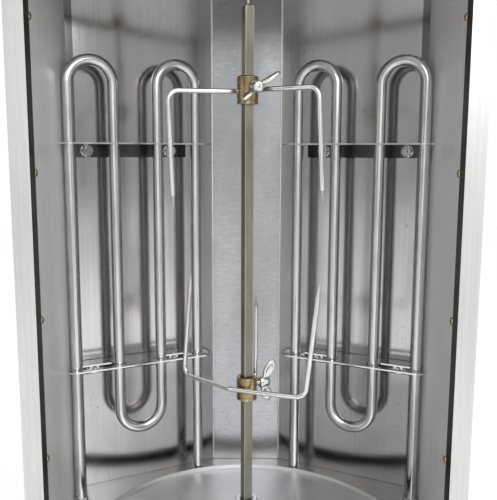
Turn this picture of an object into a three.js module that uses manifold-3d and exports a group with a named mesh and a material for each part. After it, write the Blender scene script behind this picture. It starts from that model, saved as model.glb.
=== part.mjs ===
// Vertical rotisserie broiler: a counter-top cabinet with an open front, two electric
// heating elements on angled walls, and a motor-driven spit standing in a round drip pan.
// Millimetres, +X to the right, +Y to the back, +Z up. Origin: centre of the footprint.
import * as THREE from "three";
import { mergeVertices } from "three/addons/utils/BufferGeometryUtils.js";
import Module from "manifold-3d";

const wasm = await Module();
wasm.setup();

// ---- driving dimensions ----
const WIDTH = 380;
const BASE_DEPTH = 385;
const FOOT_HEIGHT = 20;
const BASE_TOP = 132;
const CHAMBER_DEPTH = 250;
const COVER_BOTTOM = 655;
const TOTAL_HEIGHT = 720;
const KNOB_REACH = 24;
const GLAND_REACH = 12;
const SHEET = 1.2;
const LINER_SHEET = 1;
const GAP = 0.3;

// base box, centred so that the knobs and the cable gland reach equally far
const BASE_FRONT = KNOB_REACH - (BASE_DEPTH + KNOB_REACH + GLAND_REACH) / 2;
const BASE_REAR = BASE_FRONT + BASE_DEPTH;
const CHAMBER_FRONT = BASE_REAR - CHAMBER_DEPTH;
const DECK = 1.5;

// chamber plan, measured from the plane of the front posts
const POST_FACE = 16.4;
const POST_LIP = 14;
const POST_SIDE_RETURN = 20;
const LINER_X = 181;
const BACK_HALF_WIDTH = 38.5;
const BACK_Y = 222;
const WALL_ANGLE = THREE.MathUtils.degToRad(26.4);
const LINER_TOP = 661.5;
const CEILING = 662;

// heating elements: a tube bent into an M, parallel to the angled wall
const TUBE_RADIUS = 5.75;
const TUBE_TO_WALL = 26;
const LEG_PLACES = [31, 73.2, 119.2, 163.9];
const ELEMENT_TOP = 584;
const ELEMENT_LOW_BEND = 200.3;
const ELEMENT_FOOT = 108;
const BRACKET_HEIGHTS = { upper: 503.3, lower: 273.5 };
const BRACKET_OUT = 39;
const BRACKET_START = 13;
const BRACKET_FLANGE_START = 33;
const BRACKET_FLANGE = 14;

// spit and turntable, measured from the spit axis and from the drip pan's rim
const SPIT_SETBACK = 30;
const PAN_RIM = 142;
const PAN_RADIUS = 157;
const PAN_FLOOR = -4;
const HUB_TOP = 44;
const SOCKET_DEPTH = 26;
const SPIT_SIZE = 8;
const SPIT_TURN = THREE.MathUtils.degToRad(27);
const SPIT_SHOULDER = 471;
const SPIT_PIN_RADIUS = 2.6;
const SPIT_PIN_TOP = 535;
const SHAFT_RADIUS = 5;

// forks that clamp on the spit
const FORK_WIRE = 2.15;
const COLLAR_RADIUS = 9;
const COLLAR_BORE = 6;
const COLLAR_HEIGHTS = { upper: 22.8, lower: 20.4 };
const SCREW_RISE = 13;
const WRAP = COLLAR_RADIUS + FORK_WIRE + GAP;
const UPPER_COLLAR_Z = 392.2;
const LOWER_COLLAR_Z = 137.6;
const PRONG_POINT = 10;
const REAR_PRONG = { x: 7.8, y: 12.6, angle: THREE.MathUtils.degToRad(60), radius: 1.9, tip: 228.4 };

// controls on the base front
const CONTROL_Z = 78;
const KNOB_X = 118;
const LAMP_X = 62;
const ROCKER_TILT = THREE.MathUtils.degToRad(9);

const finish = (color, roughness, metalness) =>
  new THREE.MeshStandardMaterial({ color, roughness, metalness });

const FINISH = {
  stainless: finish(0xc9c9c7, 0.35, 1.0),
  mirror: finish(0xaeaaa8, 0.18, 1.0),
  brushed: finish(0xb9bcc2, 0.45, 1.0),
  tube: finish(0x8f8b86, 0.3, 1.0),
  spit: finish(0x8d8468, 0.4, 1.0),
  bronze: finish(0x8a6a3c, 0.4, 1.0),
  wire: finish(0xd6d6d4, 0.25, 1.0),
  pan: finish(0xb8babc, 0.4, 1.0),
  rubber: finish(0x1c1c1c, 0.9, 0.0),
  plastic: finish(0x18181a, 0.5, 0.0),
  lamp: finish(0xc23a1e, 0.2, 0.0),
  motor: finish(0x8f9294, 0.5, 0.9),
};

// ---- solids ----
function toSolid(geometry) {
  const bare = geometry.index ? geometry.clone() : geometry;
  bare.deleteAttribute("normal");
  bare.deleteAttribute("uv");
  const merged = mergeVertices(bare, 1e-3);
  return new wasm.Manifold(new wasm.Mesh({
    numProp: 3,
    vertProperties: new Float32Array(merged.attributes.position.array),
    triVerts: new Uint32Array(merged.index.array),
  }));
}

function toGeometry(solid) {
  const mesh = solid.getMesh();
  const geometry = new THREE.BufferGeometry();
  geometry.setAttribute("position", new THREE.BufferAttribute(mesh.vertProperties, 3));
  geometry.setIndex(new THREE.BufferAttribute(mesh.triVerts, 1));
  geometry.computeVertexNormals();
  return geometry;
}

const join = (first, ...rest) =>
  toGeometry(rest.reduce((solid, other) => solid.add(toSolid(other)), toSolid(first)));

const cut = (first, ...tools) =>
  toGeometry(tools.reduce((solid, tool) => solid.subtract(toSolid(tool)), toSolid(first)));

const keepInside = (first, region) => toGeometry(toSolid(first).intersect(toSolid(region)));

function box(low, high) {
  const size = high.map((value, i) => value - low[i]);
  const geometry = new THREE.BoxGeometry(...size);
  return geometry.translate(...low.map((value, i) => value + size[i] / 2));
}

// a round bar standing on z = bottom, or a taper where the two radii differ
function rod(x, y, bottom, top, radius, sides = 24, topRadius = radius) {
  const geometry = new THREE.CylinderGeometry(topRadius, radius, top - bottom, sides);
  return geometry.rotateX(Math.PI / 2).translate(x, y, (bottom + top) / 2);
}

// a round bar between two points, or a point where tipRadius is small
function barBetween(from, to, radius, sides = 16, tipRadius = radius) {
  const way = to.clone().sub(from);
  const geometry = new THREE.CylinderGeometry(tipRadius, radius, way.length(), sides);
  const up = new THREE.Vector3(0, 1, 0);
  geometry.applyQuaternion(new THREE.Quaternion().setFromUnitVectors(up, way.clone().normalize()));
  const middle = from.clone().add(to).multiplyScalar(0.5);
  return geometry.translate(middle.x, middle.y, middle.z);
}

function prism(points, bottom, top) {
  const shape = new THREE.Shape(points.map(([x, y]) => new THREE.Vector2(x, y)));
  return new THREE.ExtrudeGeometry(shape, { depth: top - bottom, bevelEnabled: false })
    .translate(0, 0, bottom);
}

function turned(profile, sides = 32) {
  const points = profile.map(([r, z]) => new THREE.Vector2(r, z));
  return new THREE.LatheGeometry(points, sides).rotateX(Math.PI / 2);
}

// the plan outline of folded sheet whose visible face follows a line of points;
// the thickness lies to the left of the line
function sheetOutline(line, thickness = SHEET) {
  const along = (a, b) => new THREE.Vector2(b[0] - a[0], b[1] - a[1]).normalize();
  const left = (way) => new THREE.Vector2(-way.y, way.x);
  const back = line.map((point, i) => {
    const before = left(i > 0 ? along(line[i - 1], point) : along(point, line[i + 1]));
    const after = left(i < line.length - 1 ? along(point, line[i + 1]) : along(line[i - 1], point));
    const reach = thickness / (1 + before.dot(after));
    return [point[0] + (before.x + after.x) * reach, point[1] + (before.y + after.y) * reach];
  });
  return [...line, ...back.reverse()];
}

const mirrored = (points, side) => points.map(([x, y]) => [side * x, y]);

const slotRow = (count, pitch, makeSlot) =>
  Array.from({ length: count }, (_, i) => makeSlot((i - (count - 1) / 2) * pitch));

// a curve whose sections stand exactly at given stations
class StationCurve extends THREE.Curve {
  constructor(stations) {
    super();
    this.stations = stations;
  }

  at(t) {
    return this.stations[Math.round(t * (this.stations.length - 1))];
  }

  getPointAt(t, target = new THREE.Vector3()) {
    return target.copy(this.at(t).point);
  }

  getTangentAt(t, target = new THREE.Vector3()) {
    return target.copy(this.at(t).tangent);
  }
}

// stations along straight runs joined by arcs of the given radius at each inner corner
function bentStations(corners, radii, arcSteps) {
  const stations = [];
  const add = (point, tangent) => {
    const last = stations[stations.length - 1];
    if (!last || last.point.distanceTo(point) > 0.01) stations.push({ point, tangent });
  };
  const way = (i) => corners[i + 1].clone().sub(corners[i]).normalize();
  add(corners[0], way(0));
  for (let i = 1; i < corners.length - 1; i += 1) {
    const into = way(i - 1);
    const out = way(i);
    const turn = into.angleTo(out);
    const side = out.clone().addScaledVector(into, -out.dot(into)).normalize();
    const start = corners[i].clone().addScaledVector(into, -radii[i - 1] * Math.tan(turn / 2));
    const centre = start.clone().addScaledVector(side, radii[i - 1]);
    for (let step = 0; step <= arcSteps; step += 1) {
      const angle = (turn * step) / arcSteps;
      add(
        centre.clone()
          .addScaledVector(side, -radii[i - 1] * Math.cos(angle))
          .addScaledVector(into, radii[i - 1] * Math.sin(angle)),
        into.clone().multiplyScalar(Math.cos(angle)).addScaledVector(side, Math.sin(angle)),
      );
    }
  }
  add(corners[corners.length - 1], way(corners.length - 2));
  return stations;
}

function bentTube(corners, radii, tubeRadius, { arcSteps = 8, sides = 12 } = {}) {
  const ring = Array.from({ length: sides }, (_, i) => {
    const angle = (2 * Math.PI * i) / sides;
    return new THREE.Vector2(tubeRadius * Math.cos(angle), tubeRadius * Math.sin(angle));
  });
  const stations = bentStations(corners, radii, arcSteps);
  return new THREE.ExtrudeGeometry(new THREE.Shape(ring), {
    steps: stations.length - 1,
    extrudePath: new StationCurve(stations),
  });
}

// ---- scene graph ----
const broiler = new THREE.Group();
const chamber = new THREE.Group();
const spitAxis = new THREE.Group();
const frontPanel = new THREE.Group();
chamber.position.set(0, CHAMBER_FRONT, 0);
spitAxis.position.set(0, CHAMBER_FRONT + SPIT_SETBACK, PAN_RIM);
frontPanel.position.set(0, BASE_FRONT, CONTROL_Z);
frontPanel.rotation.x = Math.PI / 2;
broiler.add(chamber, spitAxis, frontPanel);

function place(group, name, geometry, material) {
  const mesh = new THREE.Mesh(geometry, material);
  mesh.name = name;
  group.add(mesh);
}

const SIDES = [["left", -1], ["right", 1]];
const SPIT_Y = CHAMBER_FRONT + SPIT_SETBACK;

// a point in the chamber's plan, from its distance along and out from the angled wall
function wallPoint(side, along, out) {
  const x = BACK_HALF_WIDTH + along * Math.cos(WALL_ANGLE) - out * Math.sin(WALL_ANGLE);
  const y = BACK_Y - along * Math.sin(WALL_ANGLE) - out * Math.cos(WALL_ANGLE);
  return [side * x, y];
}

// ---- base ----
function addBase() {
  const half = WIDTH / 2;
  const outer = box([-half, BASE_FRONT, FOOT_HEIGHT], [half, BASE_REAR, BASE_TOP]);
  const inner = box(
    [-half + DECK, BASE_FRONT + DECK, FOOT_HEIGHT - 1],
    [half - DECK, BASE_REAR - DECK, BASE_TOP - DECK],
  );
  const legHoles = SIDES.flatMap(([, side]) => [LEG_PLACES[0], LEG_PLACES[3]].map((along) => {
    const [x, y] = wallPoint(side, along, TUBE_TO_WALL);
    return rod(x, CHAMBER_FRONT + y, BASE_TOP - 5, BASE_TOP + 5, TUBE_RADIUS + 0.6);
  }));
  const front = (x, radius) => rod(x, 0, -5, 5, radius)
    .rotateX(Math.PI / 2).translate(0, BASE_FRONT, CONTROL_Z);
  const shell = cut(
    outer,
    inner,
    ...legHoles,
    rod(0, SPIT_Y, BASE_TOP - 5, BASE_TOP + 5, 11.3),
    front(-KNOB_X, 5),
    front(KNOB_X, 5),
    front(-LAMP_X, 5.3),
    front(LAMP_X, 5.3),
    box([-13.3, BASE_FRONT - 5, CONTROL_Z - 9.3], [13.3, BASE_FRONT + 5, CONTROL_Z + 9.3]),
    rod(0, 0, -5, 5, 8.3).rotateX(Math.PI / 2).translate(-130, BASE_REAR, 52),
  );
  place(broiler, "base_shell", shell, FINISH.stainless);

  const margin = DECK + GAP;
  const vents = slotRow(7, 22, (x) => box([x - 4, 60, 0], [x + 4, 140, 60]));
  const plate = cut(
    box(
      [-half + margin, BASE_FRONT + margin, FOOT_HEIGHT],
      [half - margin, BASE_REAR - margin, FOOT_HEIGHT + DECK],
    ),
    ...vents,
  );
  place(broiler, "base_plate", plate, FINISH.stainless);

  for (const [name, side] of SIDES) {
    for (const [end, y] of [["front", BASE_FRONT + 34], ["rear", BASE_REAR - 34]]) {
      const foot = turned([[0, 0], [15, 0], [17, 2], [15.5, FOOT_HEIGHT - GAP], [0, FOOT_HEIGHT - GAP]], 24);
      foot.translate(side * (half - 34), y, 0);
      place(broiler, `foot_${end}_${name}`, foot, FINISH.rubber);
    }
  }
}

// ---- cabinet ----
function addCabinet() {
  const half = WIDTH / 2;
  const bottom = BASE_TOP + GAP;
  const top = COVER_BOTTOM - GAP;
  for (const [name, side] of SIDES) {
    const post = sheetOutline(mirrored([
      [half - POST_FACE, POST_LIP],
      [half - POST_FACE, 0],
      [half, 0],
      [half, POST_SIDE_RETURN],
    ], side), side * SHEET);
    place(chamber, `front_post_${name}`, prism(post, bottom, top), FINISH.stainless);

    const fold = wallPoint(side, (LINER_X - BACK_HALF_WIDTH) / Math.cos(WALL_ANGLE), 0);
    const linerFront = POST_LIP + GAP + LINER_SHEET;
    const liner = sheetOutline([
      [side * (half - POST_FACE + 1), linerFront],
      [side * LINER_X, linerFront],
      [side * LINER_X, fold[1] - GAP],
    ], -side * LINER_SHEET);
    place(chamber, `side_liner_${name}`, prism(liner, bottom, LINER_TOP), FINISH.mirror);

    const panel = sheetOutline([
      [fold[0], fold[1] + GAP],
      wallPoint(side, GAP, 0),
      [side * (BACK_HALF_WIDTH + GAP), BACK_Y + 8],
    ], -side * LINER_SHEET);
    place(chamber, `heater_panel_${name}`, prism(panel, bottom, LINER_TOP), FINISH.mirror);

    const skinX = half - SHEET - GAP;
    const skin = box([skinX - SHEET, 2, bottom], [skinX, CHAMBER_DEPTH - 3, top]);
    const sideSlot = (z) => box([skinX - 5, 110, 590 + z - 2.5], [skinX + 5, 200, 590 + z + 2.5]);
    const vents = slotRow(6, 14, sideSlot);
    const cover = cut(skin, ...vents).translate(side < 0 ? SHEET - 2 * skinX : 0, 0, 0);
    place(chamber, `side_panel_${name}`, cover, FINISH.stainless);
  }

  const back = sheetOutline([
    [-BACK_HALF_WIDTH + GAP, BACK_Y + 8],
    [-BACK_HALF_WIDTH + GAP, BACK_Y],
    [BACK_HALF_WIDTH - GAP, BACK_Y],
    [BACK_HALF_WIDTH - GAP, BACK_Y + 8],
  ], LINER_SHEET);
  place(chamber, "back_panel", prism(back, bottom, LINER_TOP), FINISH.brushed);

  const rearSlot = (z) => box([-70, CHAMBER_DEPTH - 10, 480 + z - 3], [70, CHAMBER_DEPTH + 5, 480 + z + 3]);
  const rear = cut(
    box([-half + SHEET, CHAMBER_DEPTH - SHEET, bottom], [half - SHEET, CHAMBER_DEPTH, top]),
    ...slotRow(10, 16, rearSlot),
  );
  place(chamber, "rear_cover", rear, FINISH.stainless);

  const ceiling = cut(
    box([-half + 4, 3, CEILING], [half - 4, CHAMBER_DEPTH - 4, CEILING + SHEET]),
    rod(0, SPIT_SETBACK, CEILING - 5, CEILING + 5, 8.3),
  );
  place(chamber, "ceiling_plate", ceiling, FINISH.mirror);

  const lid = box([-half, 0, COVER_BOTTOM], [half, CHAMBER_DEPTH, TOTAL_HEIGHT]);
  const hollow = box(
    [-half + SHEET, SHEET, COVER_BOTTOM - 1],
    [half - SHEET, CHAMBER_DEPTH - SHEET, TOTAL_HEIGHT - SHEET],
  );
  const topVents = slotRow(9, 16, (x) => box([x - 3, 150, TOTAL_HEIGHT - 5], [x + 3, 215, TOTAL_HEIGHT + 5]));
  place(chamber, "top_cover", cut(lid, hollow, ...topVents), FINISH.stainless);
}

// ---- heating ----
function addElements() {
  for (const [name, side] of SIDES) {
    const at = (along, z) => new THREE.Vector3(...wallPoint(side, along, TUBE_TO_WALL), z);
    const [a, b, c, d] = LEG_PLACES;
    const top = ELEMENT_TOP;
    const low = ELEMENT_LOW_BEND;
    const corners = [
      at(a, ELEMENT_FOOT), at(a, top), at(b, top), at(b, low),
      at(c, low), at(c, top), at(d, top), at(d, ELEMENT_FOOT),
    ];
    const bends = [b - a, b - a, c - b, c - b, d - c, d - c].map((pitch) => pitch / 2);
    const tube = bentTube(corners, bends, TUBE_RADIUS, { arcSteps: 7, sides: 12 });
    const nuts = [a, d].map((along) => {
      const [x, y] = wallPoint(side, along, TUBE_TO_WALL);
      return rod(x, y, BASE_TOP + GAP, BASE_TOP + 3.8, 7.4, 6);
    });
    place(chamber, `heating_element_${name}`, join(tube, ...nuts), FINISH.tube);
  }
}

function slot(side, from, to, inner, outer, z) {
  return prism([
    wallPoint(side, from, inner),
    wallPoint(side, to, inner),
    wallPoint(side, to, outer),
    wallPoint(side, from, outer),
  ], z - 5, z + 5);
}

function addBrackets() {
  const clear = TUBE_RADIUS + 0.6;
  const plateEnd = 182;
  const innerSlotStart = BRACKET_START + 6;
  for (const [level, z] of Object.entries(BRACKET_HEIGHTS)) {
    for (const [name, side] of SIDES) {
      const middle = (BRACKET_OUT + 1) / 2;
      const nose = Array.from({ length: 9 }, (_, i) => {
        const angle = Math.PI * (0.5 + i / 8);
        const along = BRACKET_START + 12 + 12 * Math.cos(angle);
        return wallPoint(side, along, middle + (BRACKET_OUT - middle) * Math.sin(angle));
      });
      const rim = BRACKET_OUT - TUBE_TO_WALL;
      const corner = Array.from({ length: 7 }, (_, i) => {
        const angle = (Math.PI / 2) * (i / 6);
        return wallPoint(side, LEG_PLACES[3] + rim * Math.cos(angle), TUBE_TO_WALL + rim * Math.sin(angle));
      });
      const plate = prism([...nose, wallPoint(side, plateEnd, 1), ...corner], z - 0.75, z + 0.75);
      const flange = prism([
        wallPoint(side, BRACKET_FLANGE_START, 1),
        wallPoint(side, plateEnd, 1),
        wallPoint(side, plateEnd, 2.6),
        wallPoint(side, BRACKET_FLANGE_START, 2.6),
      ], z - BRACKET_FLANGE, z);
      const inner = TUBE_TO_WALL - clear;
      const outer = TUBE_TO_WALL + clear;
      const slotted = cut(
        join(plate, flange),
        slot(side, innerSlotStart, LEG_PLACES[1] + clear, inner, outer, z),
        slot(side, LEG_PLACES[2] - clear, plateEnd + 5, inner, outer, z),
      );
      const inside = box([-LINER_X + GAP, 0, z - 30], [LINER_X - GAP, CHAMBER_DEPTH, z + 30]);
      place(chamber, `${level}_bracket_${name}`, keepInside(slotted, inside), FINISH.mirror);

      [(LEG_PLACES[0] + LEG_PLACES[1]) / 2, (LEG_PLACES[2] + LEG_PLACES[3]) / 2].forEach((along, i) => {
        const on = (out) => new THREE.Vector3(...wallPoint(side, along, out), z - 7.2);
        const nut = barBetween(on(2.6 + GAP), on(8), 6.4, 6);
        const thread = barBetween(on(7), on(12), 2.9, 12);
        place(chamber, `${level}_bracket_nut_${name}_${i + 1}`, join(nut, thread), FINISH.wire);
      });
    }
  }
}

// ---- drive and turntable ----
function addDrive() {
  const under = BASE_TOP - DECK - GAP - PAN_RIM;
  const plateTop = 100 - PAN_RIM;
  const bridge = cut(
    join(
      box([-48, -24, plateTop - 2], [48, 24, plateTop]),
      box([-48, -24, plateTop - 2], [-46, 24, under]),
      box([46, -24, plateTop - 2], [48, 24, under]),
      box([-60, -24, under - 2], [-46, 24, under]),
      box([46, -24, under - 2], [60, 24, under]),
    ),
    rod(0, 0, plateTop - 5, plateTop + 5, 8),
  );
  place(spitAxis, "motor_bracket", bridge, FINISH.stainless);

  const motorTop = plateTop - 2 - GAP;
  const can = rod(0, 0, motorTop - 26, motorTop, 32, 32);
  const winding = rod(0, 0, motorTop - 46, motorTop - 25, 26, 32);
  place(spitAxis, "gear_motor", join(can, winding), FINISH.motor);

  const shaft = join(
    rod(0, 0, motorTop + GAP, 8, SHAFT_RADIUS, 24),
    rod(0, 0, plateTop + 3, under - 5, 10, 24),
  );
  place(spitAxis, "drive_shaft", shaft, FINISH.wire);

  const bushTop = BASE_TOP - PAN_RIM;
  const bush = cut(
    join(rod(0, 0, under - 1, bushTop, 11, 32), rod(0, 0, bushTop + GAP / 2, bushTop + 1, 14, 32),
      rod(0, 0, bushTop - 1, bushTop + 0.5, 11, 32)),
    rod(0, 0, under - 20, 20, SHAFT_RADIUS + 0.2, 32),
  );
  place(spitAxis, "turntable_bearing", bush, FINISH.bronze);

  const hub = cut(
    turned([
      [0, -8.4], [30, -8.4], [30, PAN_FLOOR - 2], [10, PAN_FLOOR - 2],
      [10, HUB_TOP - 1], [9, HUB_TOP], [0, HUB_TOP],
    ], 32),
    rod(0, 0, -20, 8 + GAP, SHAFT_RADIUS + 0.2, 24),
    squareBar(SPIT_SIZE + 0.6, HUB_TOP - SOCKET_DEPTH, HUB_TOP + 10),
  );
  place(spitAxis, "drive_hub", hub, FINISH.stainless);

  const pan = turned([
    [10.4, PAN_FLOOR - 1.7], [PAN_RADIUS - 3, PAN_FLOOR - 1.7], [PAN_RADIUS, PAN_FLOOR + 0.8],
    [PAN_RADIUS, 0], [PAN_RADIUS - 1.5, 0], [PAN_RADIUS - 1.6, PAN_FLOOR + 1.6],
    [PAN_RADIUS - 4, PAN_FLOOR], [10.4, PAN_FLOOR], [10.4, PAN_FLOOR - 1.7],
  ], 72);
  place(spitAxis, "drip_pan", pan, FINISH.pan);
}

function squareBar(size, bottom, top) {
  return box([-size / 2, -size / 2, bottom], [size / 2, size / 2, top]).rotateZ(SPIT_TURN);
}

// ---- spit and forks ----
function addSpit() {
  const bar = squareBar(SPIT_SIZE, HUB_TOP - SOCKET_DEPTH + GAP, SPIT_SHOULDER);
  const pin = rod(0, 0, SPIT_SHOULDER - 1, SPIT_PIN_TOP, SPIT_PIN_RADIUS, 16);
  place(spitAxis, "spit_rod", join(bar, pin), FINISH.spit);

  const ceiling = CEILING - PAN_RIM;
  const bush = cut(
    join(rod(0, 0, ceiling - 12, ceiling + 10, 8, 24), rod(0, 0, ceiling - 3, ceiling - GAP, 12, 24)),
    rod(0, 0, ceiling - 20, ceiling + 20, SPIT_PIN_RADIUS + 0.3, 24),
  );
  place(spitAxis, "top_bush", bush, FINISH.bronze);
}

function collar(bottom, height, screwAngle) {
  const ring = turned([
    [COLLAR_BORE, bottom], [COLLAR_RADIUS - 0.6, bottom], [COLLAR_RADIUS, bottom + 0.6],
    [COLLAR_RADIUS, bottom + height - 0.6], [COLLAR_RADIUS - 0.6, bottom + height],
    [COLLAR_BORE, bottom + height], [COLLAR_BORE, bottom],
  ], 32);
  const hole = rod(0, 0, 3, 20, 3.3, 16).rotateY(Math.PI / 2);
  hole.rotateZ(screwAngle).translate(0, 0, bottom + SCREW_RISE);
  return cut(ring, hole);
}

// a wing screw whose axis is +X, tip towards the spit, with wings spread up and down
function wingScrew() {
  const tip = SPIT_SIZE / 2 + GAP;
  const along = (x) => new THREE.Vector3(x, 0, 0);
  const wing = (way) => {
    const angles = Array.from({ length: 14 }, (_, i) => (2 * Math.PI * i) / 14);
    const outline = angles.map((angle) => [
      21 + 5.2 * Math.cos(angle) + 2.6 * Math.sin(angle),
      way * (12 + 8.5 * Math.sin(angle)),
    ]);
    return prism(outline, -1.5, 1.5).rotateX(Math.PI / 2);
  };
  return join(
    barBetween(along(tip), along(12.5), 3, 16),
    barBetween(along(12), along(22), 5.2, 16, 4.4),
    wing(1),
    wing(-1),
  );
}

function prongedWire(corners, radii) {
  const first = corners[0];
  const last = corners[corners.length - 1];
  const shorten = (tip, next) => tip.clone().addScaledVector(next.clone().sub(tip).normalize(), PRONG_POINT);
  const start = shorten(first, corners[1]);
  const end = shorten(last, corners[corners.length - 2]);
  const overlap = (from, to) => from.clone().addScaledVector(to.clone().sub(from).normalize(), -0.4);
  const wire = bentTube([start, ...corners.slice(1, -1), end], radii, FORK_WIRE, { arcSteps: 6, sides: 12 });
  return join(
    wire,
    barBetween(overlap(start, first), first, FORK_WIRE * 0.98, 12, 0.2),
    barBetween(overlap(end, last), last, FORK_WIRE * 0.98, 12, 0.2),
  );
}

const point = (x, y, z) => new THREE.Vector3(x, y, z);

function rearProng() {
  const { x, y, angle, radius, tip } = REAR_PRONG;
  const foot = LOWER_COLLAR_Z + COLLAR_HEIGHTS.lower - 4;
  const seat = COLLAR_RADIUS + GAP;
  const neck = tip - PRONG_POINT;
  const stem = bentTube([
    point(seat * Math.cos(angle), seat * Math.sin(angle), foot),
    point(x, y, foot),
    point(x, y, neck),
  ], [3], radius, { arcSteps: 5, sides: 12 });
  const end = barBetween(point(x, y, neck - 0.4), point(x, y, tip), radius * 0.98, 12, 0.2);
  return join(stem, end);
}

function addForks() {
  const across = SPIT_TURN;
  const facing = SPIT_TURN - Math.PI / 2;

  const upperBar = UPPER_COLLAR_Z + 11.1;
  const upperCollar = collar(UPPER_COLLAR_Z, COLLAR_HEIGHTS.upper, facing);
  place(spitAxis, "upper_collar", upperCollar, FINISH.bronze);
  place(spitAxis, "upper_fork", prongedWire([
    point(-62.3, -3, 305.7), point(-65.9, -3, upperBar), point(-10, WRAP, upperBar + 0.3),
    point(10, WRAP, upperBar + 1.9), point(57.5, -15, upperBar + 2.1), point(61.9, -16, 311.2),
  ], [9, 14, 14, 9]), FINISH.wire);
  const upperScrew = wingScrew().rotateX(THREE.MathUtils.degToRad(-55)).rotateZ(facing);
  upperScrew.translate(0, 0, UPPER_COLLAR_Z + SCREW_RISE);
  place(spitAxis, "upper_wing_screw", upperScrew, FINISH.wire);

  const lowerBar = LOWER_COLLAR_Z + 7.6;
  const lowerCollar = collar(LOWER_COLLAR_Z, COLLAR_HEIGHTS.lower, across);
  place(spitAxis, "lower_collar", lowerCollar, FINISH.bronze);
  place(spitAxis, "lower_fork", prongedWire([
    point(-51.6, 42, 241.1), point(-58.8, 42, lowerBar), point(-14, -7.1, lowerBar + 3.4),
    point(9, -15.5, lowerBar + 3.4), point(49.3, -25, lowerBar + 2), point(59.5, -26, 245.1),
  ], [9, 14, 14, 9]), FINISH.wire);

  place(spitAxis, "lower_rear_prong", rearProng(), FINISH.wire);

  const lowerScrew = wingScrew().rotateX(THREE.MathUtils.degToRad(12)).rotateZ(across);
  lowerScrew.translate(0, 0, LOWER_COLLAR_Z + SCREW_RISE);
  place(spitAxis, "lower_wing_screw", lowerScrew, FINISH.wire);
}

function addControls() {
  for (const [name, side] of SIDES) {
    const x = side * KNOB_X;
    const body = rod(0, 0, 1, 17, 19, 32, 17.5);
    const grip = box([-3.5, -18, 10], [3.5, 18, KNOB_REACH]);
    const stem = rod(0, 0, -14, 2, 3, 16);
    place(frontPanel, `heat_knob_${name}`, join(body, grip, stem).translate(x, 0, 0), FINISH.plastic);

    const casing = box([-21, -21, -42], [21, 21, -DECK - 7]);
    const nose = rod(0, 0, -DECK - 8, 0.2, 4.6, 16);
    const bore = rod(0, 0, -15, 5, 3.3, 16);
    place(frontPanel, `heat_regulator_${name}`, cut(join(casing, nose), bore).translate(x, 0, 0), FINISH.motor);

    const lampProfile = [[0, -18], [5, -18], [5, GAP], [6.6, GAP], [6.6, 1.8], [4.6, 4], [0, 5]];
    const lamp = turned(lampProfile, 24);
    place(frontPanel, `pilot_lamp_${name}`, lamp.translate(side * LAMP_X, 0, 0), FINISH.lamp);
  }

  const bezel = cut(
    join(box([-15, -11, GAP], [15, 11, 2.2]), box([-13, -9, -24], [13, 9, 1])),
    box([-11.5, -7.5, -8], [11.5, 7.5, 10]),
  );
  place(frontPanel, "switch_bezel", bezel, FINISH.plastic);
  const key = prism([[-6.8, -1], [6.8, -1], [6.8, 4.2], [0, 2.6], [-6.8, 4.2]], -10.5, 10.5)
    .rotateY(Math.PI / 2).rotateX(Math.PI / 2 + ROCKER_TILT);
  place(frontPanel, "switch_rocker", key, FINISH.plastic);

  const gland = turned([[0, -8], [7.8, -8], [7.8, GAP], [11, GAP], [11, 5], [8, 6], [7, GLAND_REACH],
    [4, GLAND_REACH], [4, -2], [0, -2]], 12);
  gland.rotateX(-Math.PI / 2).translate(-130, BASE_REAR, 52);
  place(broiler, "cable_gland", gland, FINISH.plastic);

  const terminals = box([90, BASE_REAR - 60, FOOT_HEIGHT + DECK + GAP], [150, BASE_REAR - 36, 44]);
  place(broiler, "terminal_block", terminals, FINISH.plastic);
}

addBase();
addCabinet();
addElements();
addBrackets();
addDrive();
addSpit();
addForks();
addControls();

export default broiler;
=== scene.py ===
"""The looks of the vertical rotisserie broiler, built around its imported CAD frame."""
import math
import random

import bmesh
import bpy
from mathutils import Matrix, Vector


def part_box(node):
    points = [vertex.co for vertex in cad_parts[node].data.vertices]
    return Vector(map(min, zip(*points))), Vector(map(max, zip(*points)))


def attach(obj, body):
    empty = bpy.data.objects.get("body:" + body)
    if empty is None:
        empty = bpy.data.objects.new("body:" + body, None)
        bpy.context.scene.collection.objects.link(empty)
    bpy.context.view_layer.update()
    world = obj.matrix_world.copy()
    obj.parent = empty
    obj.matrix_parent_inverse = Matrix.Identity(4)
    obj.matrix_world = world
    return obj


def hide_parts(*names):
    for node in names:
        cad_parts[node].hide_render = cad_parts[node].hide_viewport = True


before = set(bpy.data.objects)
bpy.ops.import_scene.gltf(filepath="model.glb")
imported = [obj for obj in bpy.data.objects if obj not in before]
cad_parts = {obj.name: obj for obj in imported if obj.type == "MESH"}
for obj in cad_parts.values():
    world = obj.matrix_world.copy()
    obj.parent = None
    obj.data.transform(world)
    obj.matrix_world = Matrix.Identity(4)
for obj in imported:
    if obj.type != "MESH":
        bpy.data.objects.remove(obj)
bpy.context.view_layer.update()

MM = 0.001
SIDES = (("left", -1), ("right", 1))
random.seed(11)


# ---- places, read from the frame ----
def low(node):
    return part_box(node)[0]


def high(node):
    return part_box(node)[1]


def middle(node):
    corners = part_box(node)
    return Vector([(corners[0][i] + corners[1][i]) / 2 for i in range(3)])


BUSH = middle("top_bush")
AXIS = Vector((0, BUSH.y, 0))
PAN_RIM = high("drip_pan")[2]
POSTS_Y = low("front_post_left")[1]
BASE_FRONT = low("base_shell")[1]
BASE_TOP = high("base_shell")[2]
CONTROL_Z = middle("heat_knob_left").z
SPIT_TURN = math.radians(27)
WALL_ANGLE = math.radians(26.4)
BACK_Y = low("back_panel")[1]
BACK_HALF = high("back_panel")[0] + 0.3 * MM
LINER_X = 181 * MM
PAN_RADIUS = high("drip_pan")[0] / MM


def above_rim(height):
    """A height in metres as millimetres above the pan's rim."""
    return (height - PAN_RIM) / MM


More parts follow.
